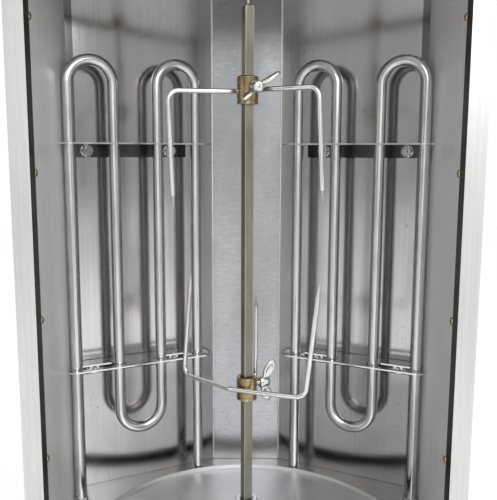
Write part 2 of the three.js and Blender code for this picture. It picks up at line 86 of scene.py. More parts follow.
def on_spit(x, y, z):
    """A point given in millimetres from the spit axis and the pan's rim."""
    return Vector((AXIS.x + x * MM, AXIS.y + y * MM, PAN_RIM + z * MM))


def on_wall(side, along, out, z):
    """A point given along and out from an angled wall, in millimetres, at a height in metres."""
    x = BACK_HALF + (along * math.cos(WALL_ANGLE) - out * math.sin(WALL_ANGLE)) * MM
    y = BACK_Y - (along * math.sin(WALL_ANGLE) + out * math.cos(WALL_ANGLE)) * MM
    return Vector((side * x, y, z))


# ---- materials ----
class Shader:
    """A small builder for one procedural material."""

    def __init__(self, name):
        self.material = bpy.data.materials.new(name)
        self.material.use_nodes = True
        self.tree = self.material.node_tree
        self.bsdf = self.tree.nodes["Principled BSDF"]
        self.place = self.add("ShaderNodeTexCoord").outputs["Object"]

    def add(self, kind, **settings):
        node = self.tree.nodes.new(kind)
        for key, value in settings.items():
            setattr(node, key, value)
        return node

    def link(self, source, target):
        self.tree.links.new(source, target)

    def along(self, axis):
        """One coordinate of the place on the surface, in metres."""
        split = self.add("ShaderNodeSeparateXYZ")
        self.link(self.place, split.inputs[0])
        return split.outputs[axis]

    def stretched(self, scale):
        node = self.add("ShaderNodeMapping")
        node.inputs["Scale"].default_value = scale
        self.link(self.place, node.inputs["Vector"])
        return node.outputs["Vector"]

    def noise(self, scale, stretch=(1, 1, 1), detail=4.0, rough=0.55):
        node = self.add("ShaderNodeTexNoise")
        node.inputs["Scale"].default_value = scale
        node.inputs["Detail"].default_value = detail
        node.inputs["Roughness"].default_value = rough
        self.link(self.stretched(stretch), node.inputs["Vector"])
        return node.outputs["Fac"]

    def ramp(self, value, stops):
        node = self.add("ShaderNodeValToRGB")
        ramp = node.color_ramp
        while len(ramp.elements) < len(stops):
            ramp.elements.new(0.5)
        for element, (position, color) in zip(ramp.elements, stops):
            element.position = position
            element.color = (*color, 1) if len(color) == 3 else color
        self.link(value, node.inputs["Fac"])
        return node.outputs["Color"]

    def spread(self, value, low_value, high_value, start=0.3, end=0.7):
        node = self.add("ShaderNodeMapRange")
        node.inputs["From Min"].default_value = start
        node.inputs["From Max"].default_value = end
        node.inputs["To Min"].default_value = low_value
        node.inputs["To Max"].default_value = high_value
        self.link(value, node.inputs["Value"])
        return node.outputs["Result"]

    def math(self, operation, first, second):
        node = self.add("ShaderNodeMath", operation=operation)
        for value, socket in ((first, node.inputs[0]), (second, node.inputs[1])):
            if isinstance(value, (int, float)):
                socket.default_value = value
            else:
                self.link(value, socket)
        return node.outputs[0]

    def mix(self, factor, first, second, blend="MIX"):
        node = self.add("ShaderNodeMix", data_type="RGBA", blend_type=blend)
        sockets = {s.name: s for s in node.inputs if s.type == "RGBA"}
        for value, socket in ((first, sockets["A"]), (second, sockets["B"])):
            if isinstance(value, tuple):
                socket.default_value = (*value, 1)
            else:
                self.link(value, socket)
        factor_socket = node.inputs[0]
        if isinstance(factor, (int, float)):
            factor_socket.default_value = factor
        else:
            self.link(factor, factor_socket)
        return [s for s in node.outputs if s.type == "RGBA"][0]

    def bump(self, height, strength, distance, under=None):
        node = self.add("ShaderNodeBump")
        node.inputs["Strength"].default_value = strength
        node.inputs["Distance"].default_value = distance
        self.link(height, node.inputs["Height"])
        if under is not None:
            self.link(under, node.inputs["Normal"])
        return node.outputs["Normal"]

    def edges(self, start=0.52, end=0.6):
        """Where the surface is an outer edge: a painted highlight on turned metal, paler rubbed wear on
        plastic.
        """
        geometry = self.add("ShaderNodeNewGeometry")
        return self.spread(geometry.outputs["Pointiness"], 0.0, 1.0, start, end)

    def set(self, color=None, roughness=None, normal=None, metallic=1.0):
        if color is not None:
            self.link(color, self.bsdf.inputs["Base Color"])
        if roughness is not None:
            self.link(roughness, self.bsdf.inputs["Roughness"])
        if normal is not None:
            self.link(normal, self.bsdf.inputs["Normal"])
        self.bsdf.inputs["Metallic"].default_value = metallic
        return self.material


def darker(tone, share):
    """A share of a tone's brightness."""
    return tuple(share * c for c in tone)


def fold_soot(s):
    """Painted shade on an angled wall where it meets its side lining."""
    away = s.math("ABSOLUTE", s.along("X"), 0.0)
    return s.spread(away, 0.0, 0.9, LINER_X - 6.8 * MM, LINER_X - 6.2 * MM)


def rising_haze(s):
    """Darkens the sheet toward the top of the chamber."""
    return s.spread(s.along("Z"), 0.0, 0.6, 0.36, 0.66)


def sheet_metal(name, tones, rough, grain, grain_bump, wave, spots=0.0, darkening=None, metallic=1.0):
    """Rolled sheet: two tones in soft blotches, a directional grain, and a slight waviness."""
    s = Shader(name)
    blotch = s.noise(9.0, (1, 1, 0.45), 6.0, 0.6)
    color = s.ramp(blotch, [(0.3, tones[0]), (0.7, tones[1])])
    lines = s.noise(1.0, grain, 3.0, 0.7)
    color = s.mix(s.spread(lines, 0.0, 0.35), color, darker(tones[0], 0.72))
    pits = s.noise(330.0, (1, 1, 1), 2.0, 0.5)
    pit_area = s.noise(24.0, (1, 1, 1), 2.0, 0.5)
    speck = s.math("MULTIPLY", s.spread(pits, 0.0, 1.0, 0.66, 0.72), s.spread(pit_area, 0.0, 1.0, 0.5, 0.62))
    color = s.mix(s.math("MULTIPLY", speck, spots), color, darker(tones[0], 0.35))
    # darkening: painted shade in the fold on the heater walls, and darker toward the top on the back panel
    if darkening is not None:
        color = s.mix(darkening(s), color, darker(tones[0], 0.25))
    smear = s.noise(5.0, (1, 1, 0.3), 5.0, 0.65)
    roughness = s.math("ADD", s.spread(smear, rough[0], rough[1]), s.spread(lines, -0.04, 0.04))
    wavy = s.bump(s.noise(3.2, (1, 1, 0.35), 1.5, 0.4), 0.25, wave)
    normal = s.bump(lines, 0.35, grain_bump, wavy)
    return s.set(color, roughness, normal, metallic)


def round_metal(name, tones, rough, streak, bump, edge=None):
    """Drawn or turned metal: fine lengthwise streaks, dull patches and, where given, a painted highlight
    along the outer edges.
    """
    s = Shader(name)
    patch = s.noise(60.0, (1, 1, 0.4), 5.0, 0.6)
    color = s.ramp(patch, [(0.3, tones[0]), (0.68, tones[1])])
    lines = s.noise(1.0, streak, 3.0, 0.7)
    color = s.mix(s.spread(lines, 0.0, 0.4), color, darker(tones[0], 0.6))
    # painted highlight: the outer edges take the given bright colour
    if edge is not None:
        color = s.mix(s.edges(), color, edge)
    roughness = s.math("ADD", s.spread(patch, rough[0], rough[1]), s.spread(lines, -0.05, 0.06))
    return s.set(color, roughness, s.bump(lines, 0.4, bump))


def spun_metal(name, tones, rough):
    """Spun disc: fine rings round the spit axis, soft scuffs and a few bright scratches."""
    s = Shader(name)
    offset = s.add("ShaderNodeVectorMath", operation="SUBTRACT")
    offset.inputs[1].default_value = (AXIS.x, AXIS.y, PAN_RIM)
    s.link(s.place, offset.inputs[0])
    flat = s.add("ShaderNodeVectorMath", operation="MULTIPLY")
    flat.inputs[1].default_value = (1, 1, 0)
    s.link(offset.outputs[0], flat.inputs[0])
    radius = s.add("ShaderNodeVectorMath", operation="LENGTH")
    s.link(flat.outputs[0], radius.inputs[0])
    rings = s.add("ShaderNodeTexNoise", noise_dimensions="1D")
    rings.inputs["Scale"].default_value = 900.0
    rings.inputs["Detail"].default_value = 3.0
    s.link(radius.outputs["Value"], rings.inputs["W"])
    scuff = s.noise(16.0, (1, 1, 1), 6.0, 0.65)
    color = s.ramp(scuff, [(0.32, tones[0]), (0.7, tones[1])])
    color = s.mix(s.spread(rings.outputs["Fac"], 0.0, 0.22), color, darker(tones[0], 0.7))
    scratch = s.noise(70.0, (1, 0.12, 1), 2.0, 0.5)
    color = s.mix(s.spread(scratch, 0.0, 0.5, 0.66, 0.7), color, (0.92, 0.92, 0.92))
    roughness = s.spread(scuff, rough[0], rough[1])
    return s.set(color, roughness, s.bump(rings.outputs["Fac"], 0.3, 0.00012))


def plastic(name, tones, rough, metallic=0.0, grain=900.0):
    """Moulded or painted surface: soft patches, a fine grain and paler rubbed edges."""
    s = Shader(name)
    patch = s.noise(40.0, (1, 1, 1), 4.0, 0.6)
    fine = s.noise(grain, (1, 1, 1), 2.0, 0.5)
    color = s.ramp(patch, [(0.3, tones[0]), (0.7, tones[1])])
    rubbed = tuple(min(1, 2.2 * c + 0.02) for c in tones[1])
    color = s.mix(s.spread(s.edges(), 0.0, 0.5, 0.0, 1.0), color, rubbed)
    return s.set(color, s.spread(patch, rough[0], rough[1]), s.bump(fine, 0.25, 0.00008), metallic)


def lens(name, tones):
    """Tinted, slightly clouded lamp plastic."""
    s = Shader(name)
    patch = s.noise(120.0, (1, 1, 1), 3.0, 0.5)
    s.bsdf.inputs["Transmission Weight"].default_value = 0.35
    s.bsdf.inputs["IOR"].default_value = 1.49
    color = s.ramp(patch, [(0.3, tones[0]), (0.7, tones[1])])
    return s.set(color, s.spread(patch, 0.08, 0.2), s.bump(patch, 0.15, 0.0001), 0.0)


# noise stretches that lay the grain upright or across
UPRIGHT = (420, 420, 6)
CROSSWISE = (110, 110, 620)

CASING = sheet_metal("satin_stainless", [(0.52, 0.52, 0.515), (0.64, 0.64, 0.635)], (0.24, 0.38),
                     UPRIGHT, 0.00006, 0.0006)
# the polished liner carries painted shade in the fold at each side lining
LINER = sheet_metal("polished_liner", [(0.47, 0.455, 0.45), (0.55, 0.535, 0.53)], (0.11, 0.2),
                    UPRIGHT, 0.00003, 0.0010, 0.8, fold_soot)
SIDE_LINER = sheet_metal("hazed_liner", [(0.74, 0.74, 0.735), (0.86, 0.86, 0.855)], (0.28, 0.42),
                         UPRIGHT, 0.00004, 0.0008, 0.4, None, 0.45)
# the back panel is made darker toward the top
BACK = sheet_metal("brushed_back", [(0.27, 0.275, 0.285), (0.49, 0.495, 0.51)], (0.24, 0.38),
                   CROSSWISE, 0.00006, 0.0022, 0.3, rising_haze)
TUBE = round_metal("heater_sheath", [(0.50, 0.49, 0.48), (0.64, 0.63, 0.62)], (0.13, 0.22),
                   (700, 700, 25), 0.00006)
WIRE = round_metal("bright_wire", [(0.60, 0.60, 0.59), (0.76, 0.76, 0.75)], (0.1, 0.19),
                   (600, 600, 40), 0.00004)
NUT = round_metal("plated_nut", [(0.22, 0.22, 0.22), (0.86, 0.86, 0.85)], (0.06, 0.14),
                  (260, 260, 260), 0.0002)
POINT = round_metal("ground_point", [(0.34, 0.33, 0.32), (0.46, 0.45, 0.44)], (0.3, 0.42),
                    (300, 300, 900), 0.00008)
# the spit's last colour is a painted highlight on its corners
SPIT = round_metal("tinted_bar", [(0.19, 0.18, 0.14), (0.28, 0.27, 0.225)], (0.3, 0.44),
                   (900, 900, 14), 0.00012, (0.62, 0.60, 0.52))
# the bronze's last colour is a painted highlight on its rims and outer edges
BRONZE = round_metal("old_bronze", [(0.11, 0.075, 0.035), (0.44, 0.33, 0.18)], (0.18, 0.32),
                     (160, 160, 420), 0.00016, (0.85, 0.74, 0.52))
# near-black painted shade for the posts' inward faces
LIP_SHADE = round_metal("shadowed_lip", [(0.045, 0.043, 0.042), (0.075, 0.072, 0.07)], (0.3, 0.42),
                   (500, 500, 8), 0.00005)
# near-black painted shade for the bracket flanges below their plates
FLANGE_SHADE = round_metal("painted_flange_shade", [(0.055, 0.05, 0.046), (0.10, 0.092, 0.085)], (0.22, 0.34),
                     (90, 90, 9), 0.00005)
# near-white colour: a painted highlight along the back panel's folds
BEAD_HIGHLIGHT = round_metal("bright_bead", [(0.90, 0.90, 0.90), (0.97, 0.97, 0.97)], (0.45, 0.6),
                   (40, 40, 300), 0.00003)
PAN = spun_metal("spun_aluminium", [(0.63, 0.64, 0.655), (0.78, 0.79, 0.8)], (0.36, 0.5))
RUBBER = plastic("black_rubber", [(0.018, 0.018, 0.018), (0.035, 0.035, 0.034)], (0.7, 0.9), grain=1400.0)
BLACK = plastic("black_plastic", [(0.014, 0.014, 0.015), (0.028, 0.028, 0.03)], (0.32, 0.5))
WHITE_INK = plastic("white_print", [(0.74, 0.74, 0.72), (0.84, 0.84, 0.82)], (0.4, 0.55))
MOTOR = plastic("plated_housing", [(0.34, 0.35, 0.36), (0.46, 0.47, 0.48)], (0.34, 0.5), 1.0)
LAMP = lens("lamp_lens", [(0.52, 0.045, 0.02), (0.7, 0.09, 0.04)])


# ---- mesh building ----
def solid(name, bm, material, body, smooth=40):
    """Turns a bmesh into a piece that rides on a body."""
    bmesh.ops.recalc_face_normals(bm, faces=bm.faces)
    mesh = bpy.data.meshes.new(name)
    bm.to_mesh(mesh)
    bm.free()
    mesh.materials.append(material)
    for face in mesh.polygons:
        face.use_smooth = True
    mesh.set_sharp_from_angle(angle=math.radians(smooth))
    piece = bpy.data.objects.new(name, mesh)
    bpy.context.collection.objects.link(piece)
    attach(piece, body)
    return piece


def bevelled(piece, width):
    """Rounds a piece's sharp edges."""
    modifier = piece.modifiers.new("edge", "BEVEL")
    modifier.width = width
    modifier.segments = 2
    modifier.limit_method = "ANGLE"
    modifier.angle_limit = math.radians(35)
    modifier.harden_normals = True


def circle(place, radius, z, sides):
    """Points round the local Z axis of a matrix, with radius and height in millimetres."""
    points = []
    for i in range(sides):
        angle = 2 * math.pi * i / sides
        points.append(place @ (Vector((radius * math.cos(angle), radius * math.sin(angle), z)) * MM))
    return points


def skin_rings(bm, rings, closed=False):
    """Joins rings of points with quads and closes both ends, or the last ring to the first."""
    made = [[bm.verts.new(p) for p in ring] for ring in rings]
    pairs = list(zip(made, made[1:]))
    if closed:
        pairs.append((made[-1], made[0]))
    count = len(made[0])
    for a, b in pairs:
        for i in range(count):
            j = (i + 1) % count
            bm.faces.new((a[i], a[j], b[j], b[i]))
    if not closed:
        bm.faces.new(list(reversed(made[0])))
        bm.faces.new(made[-1])


def turned_rings(profile, centre, sides, shape=None):
    """Rings round a vertical axis; shape(angle, radius) may pull a ring off a circle."""
    rings = []
    for item in profile:
        radius, z = item[0], item[1]
        square = len(item) > 2 and item[2]
        ring = []
        for i in range(sides):
            angle = 2 * math.pi * i / sides
            r = shape(angle, radius) if square else radius
            ring.append(centre + Vector((r * math.cos(angle), r * math.sin(angle), z)) * MM)
        rings.append(ring)
    return rings


def square_radius(angle, half):
    """How far out a square bar's side is at an angle, for a bar turned as the spit is."""
    turned = angle - SPIT_TURN
    return half / max(abs(math.cos(turned)), abs(math.sin(turned)))


def rounded_profile(corners, steps=4):
    """A profile of (radius, height, fillet) corners, closed, with each corner rounded."""
    points = []
    count = len(corners)
    for i, (r, z, fillet) in enumerate(corners):
        here = Vector((r, z))
        before = Vector(corners[i - 1][:2])
        after = Vector(corners[(i + 1) % count][:2])
        if fillet <= 0:
            points.append(tuple(here))
            continue
        start = here + (before - here).normalized() * fillet
        end = here + (after - here).normalized() * fillet
        for step in range(steps + 1):
            t = step / steps
            p = start * (1 - t) ** 2 + here * 2 * t * (1 - t) + end * t ** 2
            points.append(tuple(p))
    return points


def stations(corners, radii, arc_steps):
    """Points and directions along straight runs, each pair joined by an arc."""
    made = []

    def add(point, way):
        if not made or (made[-1][0] - point).length > 1e-5:
            made.append((point, way))

    ways = [(b - a).normalized() for a, b in zip(corners, corners[1:])]
    add(corners[0], ways[0])
    for i, radius in enumerate(radii):
        into, out = ways[i], ways[i + 1]
        turn = into.angle(out)
        across = (out - into * out.dot(into)).normalized()
        start = corners[i + 1] - into * radius * math.tan(turn / 2)
        centre = start + across * radius
        for step in range(arc_steps + 1):
            a = turn * step / arc_steps
            add(centre - across * radius * math.cos(a) + into * radius * math.sin(a),
                into * math.cos(a) + across * math.sin(a))
    add(corners[-1], ways[-1])
    return made


def sweep(bm, path, radius, sides):
    """A round bar along stations; its radius may be a function of (distance, whole length)."""
    way = path[0][1]
    side = way.orthogonal().normalized()
    lengths = [0.0]
    for a, b in zip(path, path[1:]):
        lengths.append(lengths[-1] + (b[0] - a[0]).length)
    rings = []
    for (point, way), distance in zip(path, lengths):
        side = (side - way * side.dot(way)).normalized()
        up = way.cross(side)
        r = radius(distance, lengths[-1]) if callable(radius) else radius
        ring = []
        for i in range(sides):
            angle = 2 * math.pi * i / sides
            ring.append(point + (side * math.cos(angle) + up * math.sin(angle)) * r)
        rings.append(ring)
    skin_rings(bm, rings)


def straight(a, b, cuts):
    """Stations along one straight run."""
    return [(a.lerp(b, i / cuts), (b - a).normalized()) for i in range(cuts + 1)]


def frame_to(point, way, twist=0.0):
    """A matrix that puts +Z along a direction at a point."""
    facing = way.to_track_quat("Z", "Y").to_matrix().to_4x4()
    return Matrix.Translation(point) @ facing @ Matrix.Rotation(twist, 4, "Z")


def screw_head(bm, place, radius, height):
    """A domed screw head with a sunk cross, on the local z = 0 plane."""
    sides = 24
    profile = [(radius, 0), (radius, 0.35 * height), (0.86 * radius, 0.75 * height),
               (0.55 * radius, height), (0.3 * radius, height)]
    rings = [circle(place, r, z, sides) for r, z in profile]
    cross = []
    for i in range(sides):
        angle = 2 * math.pi * i / sides
        r = radius * (0.3 if i % 6 in (0, 1, 5) else 0.12)
        cross.append(place @ (Vector((r * math.cos(angle), r * math.sin(angle), 0.45 * height)) * MM))
    rings.append(cross)
    skin_rings(bm, rings)


def hexagon(bm, place, across, height, chamfer, twist=0.0):
    """A hexagonal nut's outside, with its corners turned down at both ends."""
    sides = 36
    rings = []
    for z, pull in ((0, chamfer), (0.5 * chamfer, 0), (height - 0.5 * chamfer, 0), (height, chamfer)):
        ring = []
        for i in range(sides):
            angle = 2 * math.pi * i / sides
            sector = (angle + math.pi / 6) % (math.pi / 3) - math.pi / 6
            radius = across * math.cos(math.pi / 6) / math.cos(sector)
            radius = min(radius, across - pull)
            turned = angle + twist
            ring.append(place @ (Vector((radius * math.cos(turned), radius * math.sin(turned), z)) * MM))
        rings.append(ring)
    rings.append(circle(place, 0.45 * across, height, sides))
    skin_rings(bm, rings)


def washer(bm, place, inner, outer, bottom, top):
    """A flat ring with its upper edge broken."""
    rim = 0.12
    profile = ((inner, bottom), (outer, bottom), (outer, top - rim), (outer - rim, top), (inner, top))
    skin_rings(bm, [circle(place, r, z, 40) for r, z in profile], closed=True)


# ---- turntable: spun pan and its hub ----
def build_pan():
    """A spun disc with an upturned rim; heights are from the rim down."""
    bore, under, floor, radius = 10.4, -5.7, -4.0, PAN_RADIUS
    profile = rounded_profile([
        (bore, under, 0), (radius - 3.6, under, 0), (radius - 0.4, -4.6, 1.6), (radius, 0.0, 0.6),
        (radius - 1.8, 0.0, 0.7), (radius - 2.1, -3.4, 0.6), (radius - 5.5, floor, 1.6),
        (20, floor, 0.4), (bore, floor, 0),
    ])
    bm = bmesh.new()
    skin_rings(bm, turned_rings(profile, on_spit(0, 0, 0), 180), closed=True)
    pan = solid("spun_pan", bm, PAN, "turntable", 30)
    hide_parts("drip_pan")


def build_hub():
    """A flange under the pan and a barrel with a square socket for the spit."""
    top = above_rim(high("drive_hub")[2])
    flange, barrel, under, seat = 30, 10, -8.4, -6.0
    profile = rounded_profile([
        (5.2, under, 0), (flange, under, 0.4), (flange, seat, 0.6), (barrel, seat, 1.0),
        (barrel, top, 1.0), (5.9, top, 0.5), (5.9, top - 2, 0),
    ], 3)
    inner = [(4.3, top - 2.6, True), (4.3, top - 26, True), (4.6, top - 26.2), (4.6, 8.4), (5.2, 8.3)]
    bm = bmesh.new()
    rings = turned_rings(profile + inner, on_spit(0, 0, 0), 72, square_radius)
    skin_rings(bm, rings, closed=True)
    hub = solid("turntable_hub", bm, WIRE, "turntable", 30)
    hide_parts("drive_hub")


# ---- heating elements ----
# where the four legs stand along an angled wall, and how far the tube is out from it
LEGS = [31, 73.2, 119.2, 163.9]
TUBE_OUT = 26
TUBE_RADIUS = 5.75
LOW_BEND = 200.3


def build_element(name, side):
    """One heater tube bent into four legs, with the nuts and terminals at its two feet."""
    node = f"heating_element_{name}"
    foot, top = low(node)[2], high(node)[2] - TUBE_RADIUS * MM
    bend_low = LOW_BEND * MM
    a, b, c, d = LEGS
    corners = [on_wall(side, leg, TUBE_OUT, z) for leg, z in (
        (a, foot), (a, top), (b, top), (b, bend_low), (c, bend_low), (c, top), (d, top), (d, foot))]
    bends = [0.4998 * pitch * MM for pitch in (b - a, b - a, c - b, c - b, d - c, d - c)]
    path = stations(corners, bends, 14)
    bm = bmesh.new()
    sweep(bm, path, TUBE_RADIUS * MM, 32)
    tube = solid(f"sheath_{name}", bm, TUBE, "cabinet", 45)
    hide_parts(node)
    bm = bmesh.new()
    for leg in (a, d):
        place = Matrix.Translation(on_wall(side, leg, TUBE_OUT, BASE_TOP + 0.3 * MM))
        hexagon(bm, place, 7.6, 3.6, 0.7)
        washer(bm, place, 6.1, 9.0, -0.1, 0.5)
    solid(f"foot_nuts_{name}", bm, TUBE, "cabinet", 30)
    bm = bmesh.new()
    for leg in (a, d):
        centre = on_wall(side, leg, TUBE_OUT, foot)
        sweep(bm, straight(centre + Vector((0, 0, 2)) * MM, centre - Vector((0, 0, 7)) * MM, 4), 1.6 * MM, 16)
    solid(f"terminals_{name}", bm, SPIT, "cabinet", 30)


WASHER = 0.9
BOLT_RADIUS = 2.8


def bolt_end(distance, total):
    """A bolt's radius along its free end, with its last thread turned down."""
    return (BOLT_RADIUS if distance < total else BOLT_RADIUS - 0.6) * MM


def build_bracket_nuts(name, side):
    """Nuts, washers and threaded ends that hold each bracket to its wall."""
    normal = Vector((-side * math.sin(WALL_ANGLE), -math.cos(WALL_ANGLE), 0))
    for level in ("upper", "lower"):
        for number, along in ((1, (LEGS[0] + LEGS[1]) / 2), (2, (LEGS[2] + LEGS[3]) / 2)):
            node = f"{level}_bracket_nut_{name}_{number}"
            height = middle(node).z
            foot = on_wall(side, along, 2.9, height)
            place = frame_to(foot, normal)
            bm = bmesh.new()
            washer(bm, place, 3.0, 6.7, 0.0, WASHER)
            hexagon(bm, place @ Matrix.Translation((0, 0, WASHER * MM)), 6.4, 4.6, 1.3, random.uniform(0, 1))
            sweep(bm, straight(foot, foot + normal * 9.0 * MM, 6), bolt_end, 20)
            nut = solid(f"{level}_nut_{name}_{number}", bm, NUT, "cabinet", 30)
            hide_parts(node)


# ---- spit, collars and forks ----
def build_spit():
    """A square bar with softened corners, turned down to a round pin above its shoulder."""
    bottom, top = above_rim(low("spit_rod")[2]), above_rim(high("spit_rod")[2])
    shoulder = 471
    half, pin = 4.0, 2.6

    def rounded_square(angle, flat):
        return min(square_radius(angle, flat), flat * 1.36)

    profile = [(0.4, bottom), (half - 0.4, bottom, True), (half, bottom + 0.5, True)]
    steps = 40
    profile += [(half, bottom + 1 + (shoulder - bottom - 3) * i / steps, True) for i in range(steps + 1)]
    profile += [(3.5, shoulder - 0.4, True), (3.1, shoulder), (pin, shoulder + 0.8),
                (pin, top - 0.6), (pin - 0.5, top), (0.4, top)]
    bm = bmesh.new()
    skin_rings(bm, turned_rings(profile, on_spit(0, 0, 0), 72, rounded_square))
    rod = solid("square_spit", bm, SPIT, "spit", 25)
    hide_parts("spit_rod")


def build_collar(level, body):
    """A turned ring with a groove near its foot and a chamfered top."""
    node = f"{level}_collar"
    bottom, top = above_rim(low(node)[2]), above_rim(high(node)[2])
    bore, wall, groove, lip = 5.95, 8.9, 8.55, 9.0
    profile = rounded_profile([
        (bore, bottom, 0.3), (wall, bottom, 0.5), (wall, bottom + 2.2, 0.15),
        (groove, bottom + 2.5, 0.15), (groove, bottom + 3.1, 0.15), (wall, bottom + 3.4, 0.15),
        (wall, top - 1.4, 0.2), (lip, top - 1.2, 0.1), (lip, top - 0.9, 0.1),
        (8.1, top, 0.3), (bore, top, 0.3),
    ], 3)
    bm = bmesh.new()
    skin_rings(bm, turned_rings(profile, on_spit(0, 0, 0), 96), closed=True)
    collar = solid(f"{level}_ring", bm, BRONZE, body, 28)
    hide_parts(node)


# fork wires, with their corners given from the spit axis and the pan's rim
FORK_RADIUS = 2.15
WRAP = 11.45
POINT_LENGTH = 12
UPPER_BAR = 403.3
LOWER_BAR = 145.2
SCREW_RISE = 13
BEND_RADII = [9 * MM, 14 * MM, 14 * MM, 9 * MM]
UPPER_PATH = [(-62.3, -3, 305.7), (-65.9, -3, UPPER_BAR), (-10, WRAP, UPPER_BAR + 0.3),
              (10, WRAP, UPPER_BAR + 1.9), (57.5, -15, UPPER_BAR + 2.1), (61.9, -16, 311.2)]
LOWER_PATH = [(-51.6, 42, 241.1), (-58.8, 42, LOWER_BAR), (-14, -7.1, LOWER_BAR + 3.4),
              (9, -15.5, LOWER_BAR + 3.4), (49.3, -25, LOWER_BAR + 2), (59.5, -26, 245.1)]


def pointed(radius, length, both_ends):
    """Radius along a wire whose ends are ground to a pencil point."""
    def at(distance, total):
        left = total - distance
        near = min(distance, left) if both_ends else left
        share = min(1.0, near / (length * MM))
        return radius * MM * (0.16 + 0.84 * share ** 0.85)
    return at


def with_points(path, length, cuts=10):
    """Adds stations near both ends of a path so that its points taper smoothly."""
    head = straight(path[0][0], path[0][0] + path[0][1] * length * MM, cuts)
    tail = straight(path[-1][0] - path[-1][1] * length * MM, path[-1][0], cuts)
    return head + path[1:-1] + tail


def build_fork(level, corners):
    """A wire bent into a crossbar and two prongs with ground points."""
    path = stations([on_spit(*corner) for corner in corners], BEND_RADII, 12)
    bm = bmesh.new()
    sweep(bm, with_points(path, POINT_LENGTH), pointed(FORK_RADIUS, POINT_LENGTH, True), 28)
    wire = solid(f"{level}_prongs", bm, WIRE, f"{level}_fork", 40)
    wire.data.materials.append(POINT)
    tips = (path[0][0], path[-1][0])
    if level == "upper":
        for face in wire.data.polygons:
            if min((face.center - tip).length for tip in tips) < (POINT_LENGTH - 1) * MM:
                face.material_index = 1
    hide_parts(f"{level}_fork")
    build_weld(level, corners[2], corners[3])


def build_weld(level, start, end):
    """The braze that joins a fork wire to its collar: a lumpy fillet between the two."""
    a, b = Vector(start), Vector(end)
    way = (b - a).normalized()
    touch = a - way * a.to_2d().dot(way.to_2d())
    inward = Vector((-touch.x, -touch.y, 0)).normalized() * 1.6
    bm = bmesh.new()
    path = straight(on_spit(*(touch + inward - way * 7)), on_spit(*(touch + inward + way * 7)), 24)

    def lumpy(distance, total):
        share = distance / total
        swell = math.sin(math.pi * min(1, max(0, share))) ** 0.5
        return (0.3 + 1.9 * swell + 0.22 * math.sin(share * 31) * swell) * MM

    sweep(bm, path, lumpy, 14)
    solid(f"{level}_weld", bm, BRONZE, f"{level}_fork", 60)


REAR_PRONG = (7.8, 12.6)
REAR_RADIUS = 1.9


def build_rear_prong():
    """The thin third prong, bent up from the back of the lower collar."""
    foot = above_rim(high("lower_collar")[2]) - 4
    tip = above_rim(high("lower_rear_prong")[2])
    seat, angle = 9.3, math.radians(60)
    start = (seat * math.cos(angle), seat * math.sin(angle), foot)
    corners = [on_spit(*start), on_spit(*REAR_PRONG, foot), on_spit(*REAR_PRONG, tip)]
    path = stations(corners, [3 * MM], 8)
    tail = straight(path[-1][0] - path[-1][1] * 14 * MM, path[-1][0], 12)
    bm = bmesh.new()
    sweep(bm, path[:-1] + tail, pointed(REAR_RADIUS, 12, False), 20)
    prong = solid("rear_prong", bm, WIRE, "lower_fork", 40)
    prong.data.materials.append(POINT)
    for face in prong.data.polygons:
        if (face.center - corners[-1]).length < 11 * MM:
            face.material_index = 1
    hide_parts("lower_rear_prong")


def build_wing_screw(level, turn, tilt):
    """A cast wing screw: threaded shank, waisted boss and two rounded ears."""
    node = f"{level}_wing_screw"
    centre = Vector((AXIS.x, AXIS.y, low(f"{level}_collar")[2] + SCREW_RISE * MM))
    place = (Matrix.Translation(centre) @ Matrix.Rotation(turn, 4, "Z") @ Matrix.Rotation(tilt, 4, "X")
             @ Matrix.Rotation(math.pi / 2, 4, "Y"))
    crest, root, thread_start = 2.9, 2.45, 5.0
    profile = [(2.2, 4.4), (crest, thread_start)]
    profile += [(crest if i % 2 else root, thread_start + 0.4 * i) for i in range(1, 18)]
    profile += [(4.6, 12.1), (5.2, 12.8), (5.1, 15.5), (4.7, 19.0), (4.3, 21.2), (3.4, 22.0), (0.3, 22.2)]
    bm = bmesh.new()
    skin_rings(bm, [circle(place, r, z, 32) for r, z in profile])
    for way in (1, -1):
        ear(bm, place, way)
    screw = solid(f"{level}_wing", bm, WIRE, node, 50)
    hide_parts(node)


EAR_CENTRE = (21, 12)
EAR_LAYERS = ((0.0, 0.5), (0.35, 1.0), (0.9, 1.35), (1.8, 1.5), (3.2, 1.15))


def ear(bm, place, way):
    """One rounded ear, thick at its root and thin at its rim; layers are (inset, half thickness)."""
    count = 40
    along, out = EAR_CENTRE[0], way * EAR_CENTRE[1]
    outline = []
    for i in range(count):
        angle = 2 * math.pi * i / count
        x = along + 5.2 * math.cos(angle) + 2.6 * math.sin(angle)
        outline.append((x, out + way * 8.5 * math.sin(angle)))
    layers = [(inset, -thick) for inset, thick in reversed(EAR_LAYERS)] + list(EAR_LAYERS)
    made = []
    for inset, thick in layers:
        ring = []
        for x, y in outline:
            away = Vector((x - along, y - out))
            pulled = Vector((along, out)) + away * max(0.05, 1 - inset / 7.0)
            root = 0.5 * max(0.0, 1 - abs(pulled.y) / EAR_CENTRE[1])
            ring.append(place @ (Vector((-pulled.y, thick * (1 + root), pulled.x)) * MM))
        made.append(ring)
    skin_rings(bm, made)


# ---- controls ----
KNOB_X = 118
GRIP_HALF_WIDTH = 3.5
GRIP_HALF_LENGTH = 18
INK = 0.06


def on_panel(side):
    """A matrix at a knob's centre on the panel: local +Z points out of it and local +Y points up."""
    spot = Vector((side * KNOB_X * MM, BASE_FRONT, CONTROL_Z))
    return Matrix.Translation(spot) @ Matrix.Rotation(math.pi / 2, 4, "X")


def knob_ring(place, radius, z, flutes):
    """A ring of the knob's skirt; flutes is the depth of its finger grooves."""
    sides = 144
    points = []
    for i in range(sides):
        angle = 2 * math.pi * i / sides
        r = radius - flutes * max(0.0, math.cos(angle * 24))
        points.append(place @ (Vector((r * math.cos(angle), r * math.sin(angle), z)) * MM))
    return points


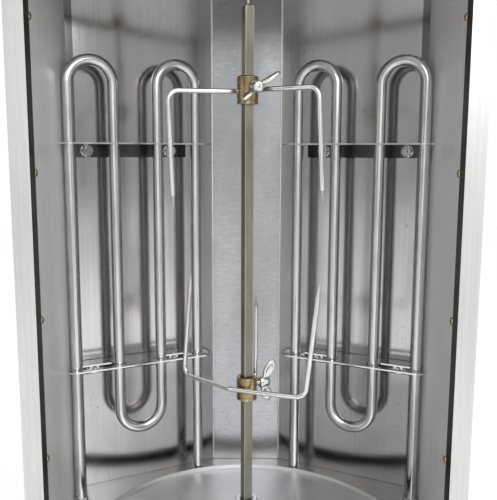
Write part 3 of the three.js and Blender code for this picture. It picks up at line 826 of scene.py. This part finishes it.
def grip_ring(place, inset, rise):
    """A ring of the bar across the knob's face, pulled in toward its top."""
    sides = 64
    points = []
    for i in range(sides):
        angle = 2 * math.pi * i / sides
        width = min(GRIP_HALF_WIDTH, GRIP_HALF_WIDTH * abs(1.6 * math.cos(angle)) ** 0.6)
        length = GRIP_HALF_LENGTH * abs(math.sin(angle)) ** 0.55
        x = math.copysign(max(0.0, width - inset), math.cos(angle))
        y = math.copysign(max(0.0, length - inset), math.sin(angle))
        points.append(place @ (Vector((x, y, rise)) * MM))
    return points


KNOB_PROFILE = ((3.2, -12, 0), (3.2, 0.9, 0), (18.2, 0.9, 0), (19, 1.6, 0), (19, 4.4, 0), (18.4, 5.2, 0),
                (18.2, 6.0, 0.45), (17.6, 15.2, 0.45), (17.0, 16.4, 0), (16.0, 17.0, 0), (3.0, 17.0, 0))
GRIP_PROFILE = ((0, 10), (0, 20.6), (0.35, 22.4), (1.0, 23.5), (2.0, 24.0))


def build_knob(name, side):
    """A fluted knob with a grip bar and a white pointer line."""
    node = f"heat_knob_{name}"
    place = on_panel(side)
    bm = bmesh.new()
    skin_rings(bm, [knob_ring(place, *item) for item in KNOB_PROFILE])
    skin_rings(bm, [grip_ring(place, *item) for item in GRIP_PROFILE])
    knob = solid(f"{node}_body", bm, BLACK, node, 32)
    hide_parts(node)
    bm = bmesh.new()
    face = place @ Matrix.Translation((0, 12 * MM, GRIP_PROFILE[-1][1] * MM))
    size = Matrix.Diagonal((1.4 * MM, 8 * MM, 0.3 * MM, 1))
    mark = bmesh.ops.create_cube(bm, size=1, matrix=face @ size)
    edges = list({e for v in mark["verts"] for e in v.link_edges})
    bmesh.ops.bevel(bm, geom=edges, offset=0.1 * MM, segments=2, affect="EDGES")
    solid(f"{node}_mark", bm, WHITE_INK, node, 30)


def build_ticks(name, side):
    """Printed ticks round a knob, the longer ones beside the numbers."""
    bm = bmesh.new()
    for i in range(28):
        angle = math.radians(90 - 10 * i)
        length = 3.2 if i % 3 == 0 else 1.8
        place = (on_panel(side) @ Matrix.Rotation(angle, 4, "Z")
                 @ Matrix.Translation(((21.5 + length / 2) * MM, 0, INK * MM))
                 @ Matrix.Diagonal((length * MM, 0.5 * MM, 2 * INK * MM, 1)))
        bmesh.ops.create_cube(bm, size=1, matrix=place)
    solid(f"dial_ticks_{name}", bm, BLACK, "cabinet", 30)


def build_digit(name, side, number):
    """One printed number of a knob's dial."""
    text = bpy.data.curves.new(f"digit_{name}_{number}", "FONT")
    text.body = str(number)
    text.size = 5.2 * MM
    text.extrude = INK * MM
    text.align_x = "CENTER"
    text.align_y = "CENTER"
    letter = bpy.data.objects.new(f"digit_curve_{name}_{number}", text)
    bpy.context.collection.objects.link(letter)
    bpy.context.view_layer.update()
    mesh = bpy.data.meshes.new_from_object(letter)
    bpy.data.objects.remove(letter)
    angle = math.radians(90 - 30 * number)
    reach = 29.5 * MM
    spot = on_panel(side) @ Vector((reach * math.cos(angle), reach * math.sin(angle), INK * MM))
    mesh.transform(Matrix.Translation(spot) @ Matrix.Rotation(math.pi / 2, 4, "X"))
    mesh.materials.clear()
    mesh.materials.append(BLACK)
    piece = bpy.data.objects.new(f"digit_{name}_{number}", mesh)
    bpy.context.collection.objects.link(piece)
    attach(piece, "cabinet")


def build_dial(name, side):
    """The printed dial round a knob."""
    build_ticks(name, side)
    for number in range(10):
        build_digit(name, side, number)


# ---- fixings and seams that stay with the casing ----
def build_creases():
    """Rolled beads where the back panel meets the angled walls, coloured near white as a painted highlight.
    """
    bottom, top = BASE_TOP + 0.5 * MM, high("back_panel")[2] - 0.5 * MM
    bm = bmesh.new()
    for side in (-1, 1):
        foot = Vector((side * (BACK_HALF - 0.2 * MM), BACK_Y - 0.2 * MM, bottom))
        sweep(bm, straight(foot, Vector((foot.x, foot.y, top)), 50), 1.0 * MM, 16)
    solid("back_creases", bm, BEAD_HIGHLIGHT, "cabinet", 40)


def build_liner_screws():
    """Small screws down both side linings, just behind the posts."""
    bm = bmesh.new()
    for side in (-1, 1):
        for i in range(4):
            spot = Vector((side * LINER_X, POSTS_Y + 38 * MM, (219 + 129 * i) * MM))
            screw_head(bm, frame_to(spot, Vector((-side, 0, 0)), random.uniform(0, 1.5)), 3.4, 1.7)
    solid("liner_screws", bm, BRONZE, "cabinet", 30)


def heights(node, inset):
    """A row of three heights on a panel: near its foot, at its middle and near its top."""
    return (low(node)[2] + inset * MM, middle(node).z, high(node)[2] - inset * MM)


def build_casing_screws():
    """Screws down the side panels, the rear cover and the front of the base."""
    bm = bmesh.new()

    def add(spot, facing):
        screw_head(bm, frame_to(Vector(spot), Vector(facing), random.uniform(0, 1.5)), 3.6, 1.9)

    front, rear = low("side_panel_left")[1], high("side_panel_left")[1]
    cover_x, cover_y = high("rear_cover")[0] - 12 * MM, high("rear_cover")[1]
    base_x = high("base_shell")[0] - 14 * MM
    for side in (-1, 1):
        for y in (rear - 12 * MM, front + 14 * MM):
            for z in heights("side_panel_left", 12):
                add((side * high("side_panel_right")[0], y, z), (side, 0, 0))
        for z in heights("rear_cover", 14):
            add((side * cover_x, cover_y, z), (0, 1, 0))
        for z in (BASE_TOP - 14 * MM, low("base_shell")[2] + 14 * MM):
            add((side * base_x, BASE_FRONT, z), (0, -1, 0))
    solid("casing_screws", bm, WIRE, "cabinet", 30)


# ---- finishes on the CAD nodes that stay in view ----
# material, slot, bevel in millimetres, and how the names of its nodes start
FINISHES = (
    (CASING, "stainless_casing", 0.5, ("base_shell", "base_plate", "side_panel_", "rear_cover", "top_cover",
                                       "ceiling_plate", "motor_bracket")),
    (CASING, "stainless_casing", 0.9, ("front_post_",)),
    (LINER, "polished_liner", 0.25, ("heater_panel_",)),
    (SIDE_LINER, "polished_liner", 0.25, ("side_liner_",)),
    (BACK, "brushed_liner", 0.25, ("back_panel",)),
    (WIRE, "bright_steel", 0.2, ("upper_bracket_", "lower_bracket_", "drive_shaft")),
    (BRONZE, "bronze", 0.3, ("top_bush", "turntable_bearing")),
    (RUBBER, "rubber", 0.8, ("foot_",)),
    (BLACK, "black_plastic", 0.4, ("switch_", "cable_gland", "terminal_block")),
    (MOTOR, "motor_steel", 0.5, ("gear_motor", "heat_regulator_")),
    (LAMP, "lamp_lens", 0.2, ("pilot_lamp_",)),
)


def darken_flanges():
    """The upright flanges of the element brackets get painted shade, a near-black material; the plates stay
    bright.
    """
    for name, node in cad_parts.items():
        if "_bracket_" not in name or "_nut_" in name or name == "motor_bracket":
            continue
        node.data.materials.append(FLANGE_SHADE)
        underside = high(name)[2] - 1.6 * MM
        for face in node.data.polygons:
            lowest = min(node.data.vertices[v].co.z for v in face.vertices)
            if abs(face.normal.z) < 0.5 and lowest < underside:
                face.material_index = 1


def finish_cad():
    """Gives every CAD node that stays in view its material, smooth shading and rounded edges."""
    for material, slot, width, starts in FINISHES:
        for name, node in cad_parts.items():
            if not name.startswith(starts) or "_nut_" in name:
                continue
            node.data.materials.clear()
            node.data.materials.append(material)
            for face in node.data.polygons:
                face.use_smooth = True
                face.material_index = 0
            bevelled(node, width * MM)


def darken_lips():
    """The faces of the posts that turn back into the chamber get painted shade, a near-black material."""
    for name, side in SIDES:
        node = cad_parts[f"front_post_{name}"]
        node.data.materials.append(LIP_SHADE)
        inner_x = low(f"front_post_{name}")[0] if side > 0 else high(f"front_post_{name}")[0]
        for face in node.data.polygons:
            near = abs(face.center.x - inner_x) < 1.6 * MM
            if near and abs(face.normal.x) > 0.7 and face.center.y > POSTS_Y + 1 * MM:
                face.material_index = 1


# ---- the studio ----
# (how far a direction faces the front, light strength)
LIGHT_BANDS = ((0.0, 0.7), (0.15, 1.0), (0.5, 1.0), (0.6, 0.4), (0.86, 0.38), (0.94, 0.95), (1.0, 1.0))
BRIGHTEST = 1.4
KEY_POWER = 17
CAMERA_SPOT = (-0.00295, -0.5921, 0.495)
CAMERA_PITCH = 8.27
CAMERA_ROLL = 0.147
CAMERA_LENS = 48.51
CAMERA_SHIFT = 0.0096


def build_floor():
    """A plain pale floor."""
    bm = bmesh.new()
    bmesh.ops.create_grid(bm, x_segments=1, y_segments=1, size=4)
    mesh = bpy.data.meshes.new("studio_floor")
    bm.to_mesh(mesh)
    bm.free()
    s = Shader("pale_floor")
    patch = s.noise(1.5, (1, 1, 1), 2.0, 0.5)
    color = s.ramp(patch, [(0.3, (0.93, 0.93, 0.93)), (0.7, (0.95, 0.95, 0.95))])
    mesh.materials.append(s.set(color, s.spread(patch, 0.7, 0.8), None, 0.0))
    floor = bpy.data.objects.new("studio_floor", mesh)
    bpy.context.collection.objects.link(floor)


def build_world():
    """White to the eye; to the metal, bright sides, a dim band nearer the front and a bright front."""
    world = bpy.data.worlds.new("studio")
    world.use_nodes = True
    bpy.context.scene.world = world
    tree = world.node_tree
    background = tree.nodes["Background"]

    def add(kind, **settings):
        node = tree.nodes.new(kind)
        for key, value in settings.items():
            setattr(node, key, value)
        return node

    coordinate = add("ShaderNodeTexCoord")
    split = add("ShaderNodeSeparateXYZ")
    tree.links.new(coordinate.outputs["Generated"], split.inputs[0])
    facing = add("ShaderNodeMath", operation="MULTIPLY")
    facing.inputs[1].default_value = -1.0
    tree.links.new(split.outputs["Y"], facing.inputs[0])
    bands = add("ShaderNodeValToRGB")
    ramp = bands.color_ramp
    while len(ramp.elements) < len(LIGHT_BANDS):
        ramp.elements.new(0.5)
    for element, (position, strength) in zip(ramp.elements, LIGHT_BANDS):
        element.position = position
        element.color = (strength, strength, strength, 1)
    tree.links.new(facing.outputs[0], bands.inputs["Fac"])
    scaled = add("ShaderNodeMath", operation="MULTIPLY")
    scaled.inputs[1].default_value = BRIGHTEST
    tree.links.new(bands.outputs["Color"], scaled.inputs[0])
    path = add("ShaderNodeLightPath")
    mix = add("ShaderNodeMix", data_type="FLOAT")
    tree.links.new(path.outputs["Is Camera Ray"], mix.inputs[0])
    tree.links.new(scaled.outputs[0], mix.inputs[2])
    mix.inputs[3].default_value = 1.0
    tree.links.new(mix.outputs[0], background.inputs["Strength"])
    background.inputs["Color"].default_value = (1, 1, 1, 1)


def add_area(name, spot, aim, size, power):
    """A rectangular soft light aimed at a point."""
    light = bpy.data.lights.new(name, "AREA")
    light.shape = "RECTANGLE"
    light.size, light.size_y = size
    light.energy = power
    lamp = bpy.data.objects.new(name, light)
    bpy.context.collection.objects.link(lamp)
    lamp.location = spot
    lamp.rotation_euler = (Vector(aim) - Vector(spot)).to_track_quat("-Z", "Y").to_euler()


def build_camera():
    """The product view: into the chamber from the front, tipped slightly down."""
    data = bpy.data.cameras.new("product_camera")
    data.lens = CAMERA_LENS
    data.sensor_width = 36
    data.shift_x = CAMERA_SHIFT
    data.clip_start = 0.01
    camera = bpy.data.objects.new("product_camera", data)
    bpy.context.collection.objects.link(camera)
    tip = Matrix.Rotation(math.radians(90 - CAMERA_PITCH), 4, "X")
    roll = Matrix.Rotation(math.radians(CAMERA_ROLL), 4, "Z")
    camera.matrix_world = Matrix.Translation(CAMERA_SPOT) @ tip @ roll
    bpy.context.scene.camera = camera


finish_cad()
darken_flanges()
darken_lips()
build_pan()
build_hub()
for side_name, side_sign in SIDES:
    build_element(side_name, side_sign)
    build_bracket_nuts(side_name, side_sign)
    build_knob(side_name, side_sign)
    build_dial(side_name, side_sign)
build_spit()
build_collar("upper", "upper_fork")
build_collar("lower", "lower_fork")
build_fork("upper", UPPER_PATH)
build_fork("lower", LOWER_PATH)
build_rear_prong()
build_wing_screw("upper", SPIT_TURN - math.pi / 2, math.radians(-55))
build_wing_screw("lower", SPIT_TURN, math.radians(12))
build_creases()
build_liner_screws()
build_casing_screws()
build_floor()
build_world()
add_area("key", (0.35, -1.3, 1.3), (0, 0, 0.2), (1.2, 1.2), KEY_POWER)
build_camera()
bpy.context.scene.view_settings.view_transform = "Standard"
